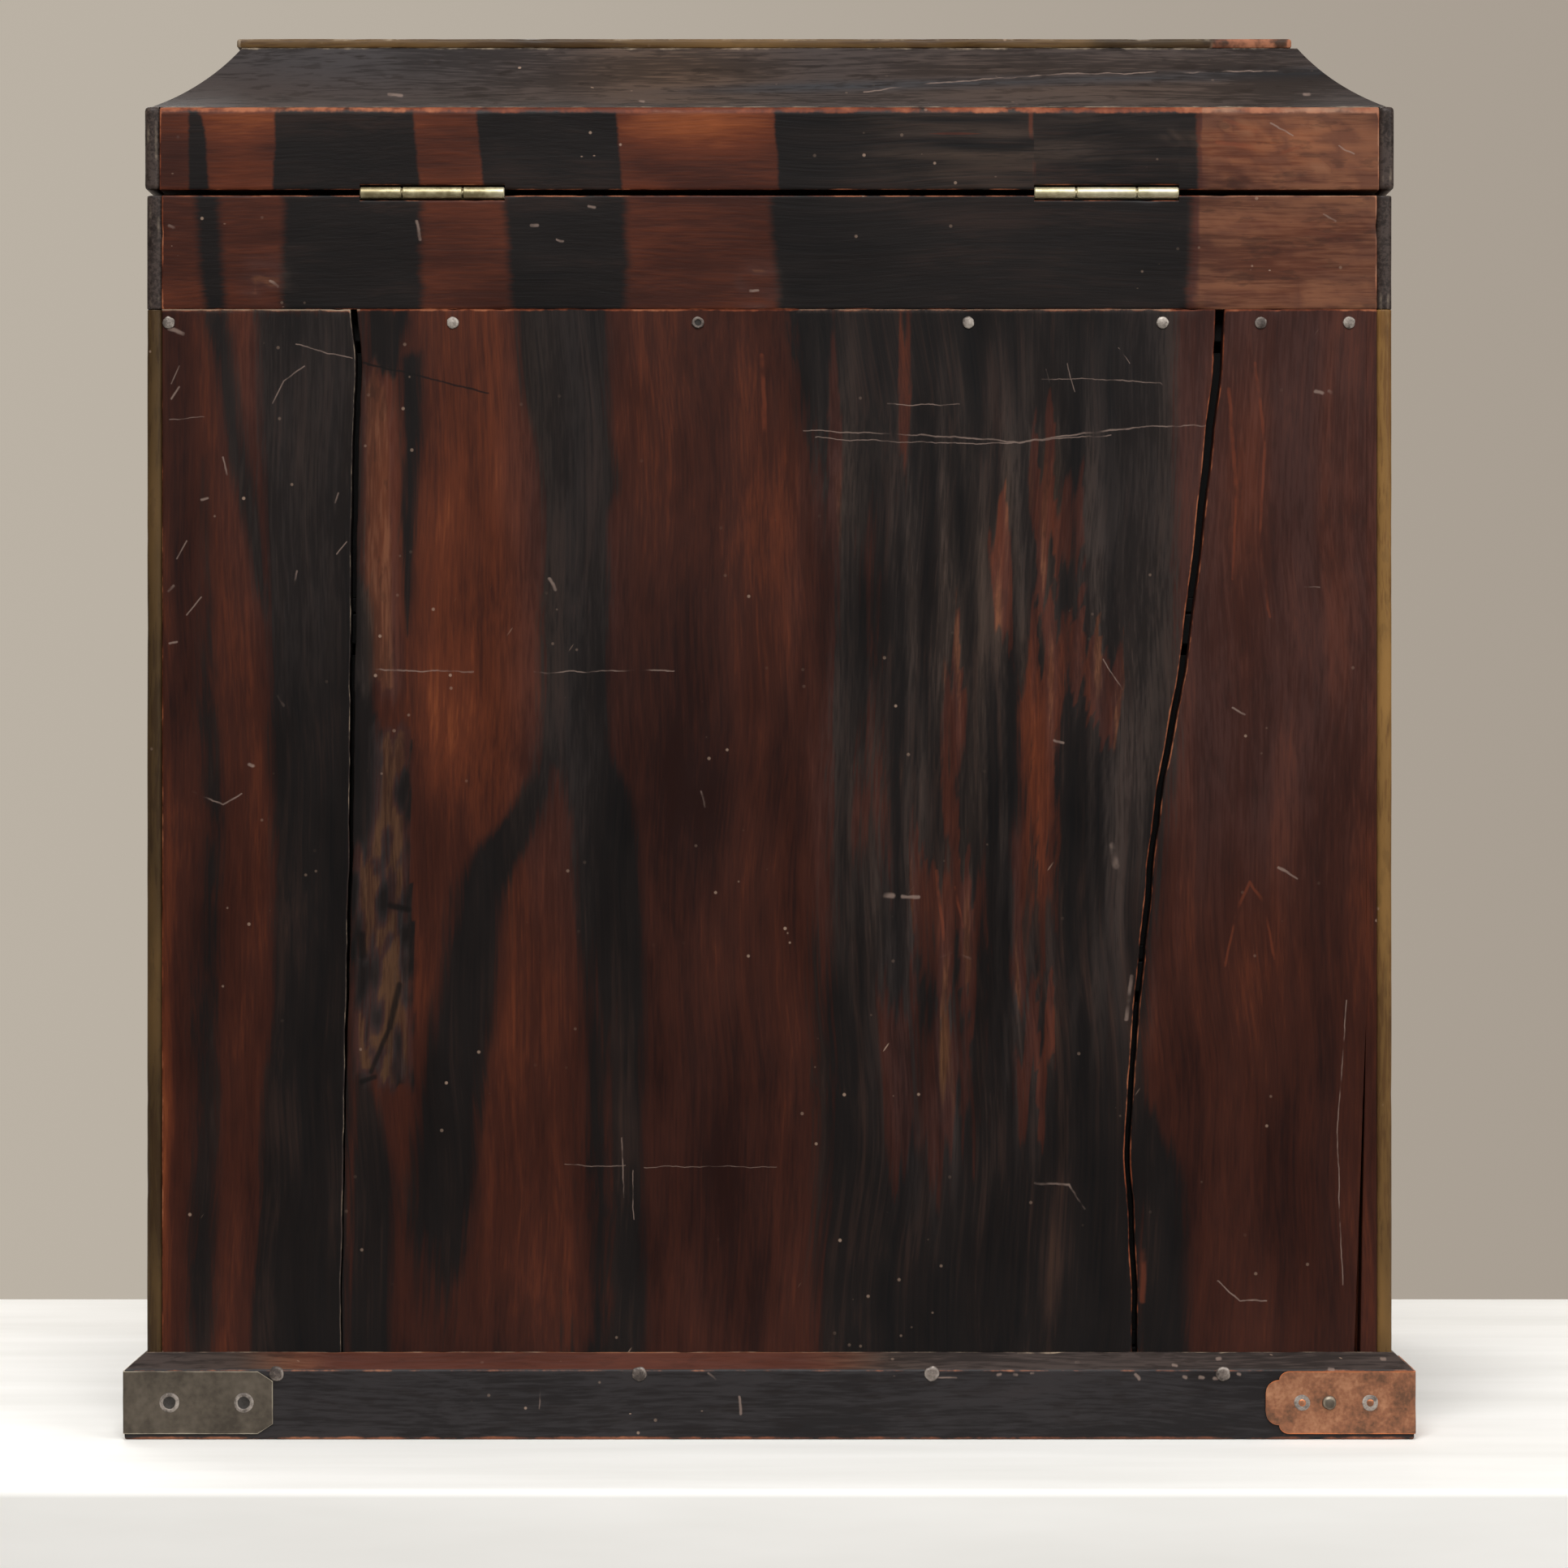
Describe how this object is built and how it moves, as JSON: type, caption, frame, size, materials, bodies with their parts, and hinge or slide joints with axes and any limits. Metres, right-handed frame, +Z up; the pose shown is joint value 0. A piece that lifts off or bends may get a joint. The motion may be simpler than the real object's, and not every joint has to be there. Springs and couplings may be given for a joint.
{
  "type": "tansu chest",
  "caption": "Small dark wooden chest with drawers, a shallow tray under a hinged coved lid, and a moulded plinth with metal corner plates.",
  "frame": {"origin": "middle of the base, on the surface that the plinth stands on", "axes": "+Z up, -Y out of the drawer fronts, +X to the right seen from the front"},
  "size_m": [0.3416, 0.2586, 0.3721],
  "materials": {
    "figured_wood": "aged oil and wax",
    "plain_wood": "bare, aged",
    "brass": "dull",
    "copper": "dark patina, worn",
    "iron": "dark patina",
    "nail_iron": "worn"
  },
  "bodies": {
    "case": {"plinth_front_rail": "figured_wood", "plinth_back_rail": "figured_wood", "plinth_left_rail": "figured_wood", "plinth_right_rail": "figured_wood", "left_side_panel": "figured_wood", "right_side_panel": "figured_wood", "back_board_right": "figured_wood", "back_board_centre": "figured_wood", "back_board_left": "figured_wood", "case_bottom_board": "plain_wood", "lower_shelf": "plain_wood", "upper_shelf": "plain_wood", "tray_floor": "plain_wood", "tray_front_wall": "figured_wood", "tray_back_wall": "figured_wood", "tray_left_wall": "figured_wood", "tray_right_wall": "figured_wood", "hinge_case_leaves": "brass", "hinge_pins": "brass", "hinge_case_screws": "brass", "back_left_copper_corner_plate": "copper", "back_right_iron_corner_plate": "iron", "front_left_copper_corner_plate": "copper", "front_right_copper_corner_plate": "copper", "corner_plate_nails": "nail_iron", "back_panel_nails": "nail_iron", "plinth_nails": "nail_iron"},
    "lid": {"lid_front_wall": "figured_wood", "lid_back_wall": "figured_wood", "lid_left_wall": "figured_wood", "lid_right_wall": "figured_wood", "lid_front_cove": "figured_wood", "lid_back_cove": "figured_wood", "lid_left_cove": "figured_wood", "lid_right_cove": "figured_wood", "lid_top_panel": "figured_wood", "hinge_lid_leaves": "brass", "hinge_lid_screws": "brass"},
    "upper_drawer": {"upper_drawer_front": "figured_wood", "upper_drawer_left_side": "plain_wood", "upper_drawer_right_side": "plain_wood", "upper_drawer_back": "plain_wood", "upper_drawer_bottom": "plain_wood", "upper_drawer_pull_posts": "copper"},
    "upper_bail": {"upper_drawer_bail": "copper"},
    "middle_drawer": {"middle_drawer_front": "figured_wood", "middle_drawer_left_side": "plain_wood", "middle_drawer_right_side": "plain_wood", "middle_drawer_back": "plain_wood", "middle_drawer_bottom": "plain_wood", "middle_drawer_pull_posts": "copper"},
    "middle_bail": {"middle_drawer_bail": "copper"},
    "lower_drawer": {"lower_drawer_front": "figured_wood", "lower_drawer_left_side": "plain_wood", "lower_drawer_right_side": "plain_wood", "lower_drawer_back": "plain_wood", "lower_drawer_bottom": "plain_wood", "lower_drawer_pull_posts": "copper"},
    "lower_bail": {"lower_drawer_bail": "copper"}
  },
  "joints": [
    {"name": "lid_hinge", "type": "hinge", "parent": "case", "child": "lid", "pos_m": [0, 0.1219, 0.32775], "axis": [-1, 0, 0], "range_deg": [0, 100]},
    {"name": "upper_drawer_slide", "type": "slide", "parent": "case", "child": "upper_drawer", "axis": [0, -1, 0], "range_m": [0, 0.17]},
    {"name": "upper_bail_swing", "type": "hinge", "parent": "upper_drawer", "child": "upper_bail", "pos_m": [0, -0.1265, 0.259], "axis": [-1, 0, 0], "range_deg": [-10, 170]},
    {"name": "middle_drawer_slide", "type": "slide", "parent": "case", "child": "middle_drawer", "axis": [0, -1, 0], "range_m": [0, 0.17]},
    {"name": "middle_bail_swing", "type": "hinge", "parent": "middle_drawer", "child": "middle_bail", "pos_m": [0, -0.1265, 0.173], "axis": [-1, 0, 0], "range_deg": [-10, 170]},
    {"name": "lower_drawer_slide", "type": "slide", "parent": "case", "child": "lower_drawer", "axis": [0, -1, 0], "range_m": [0, 0.17]},
    {"name": "lower_bail_swing", "type": "hinge", "parent": "lower_drawer", "child": "lower_bail", "pos_m": [0, -0.1265, 0.076], "axis": [-1, 0, 0], "range_deg": [-10, 170]}
  ]
}
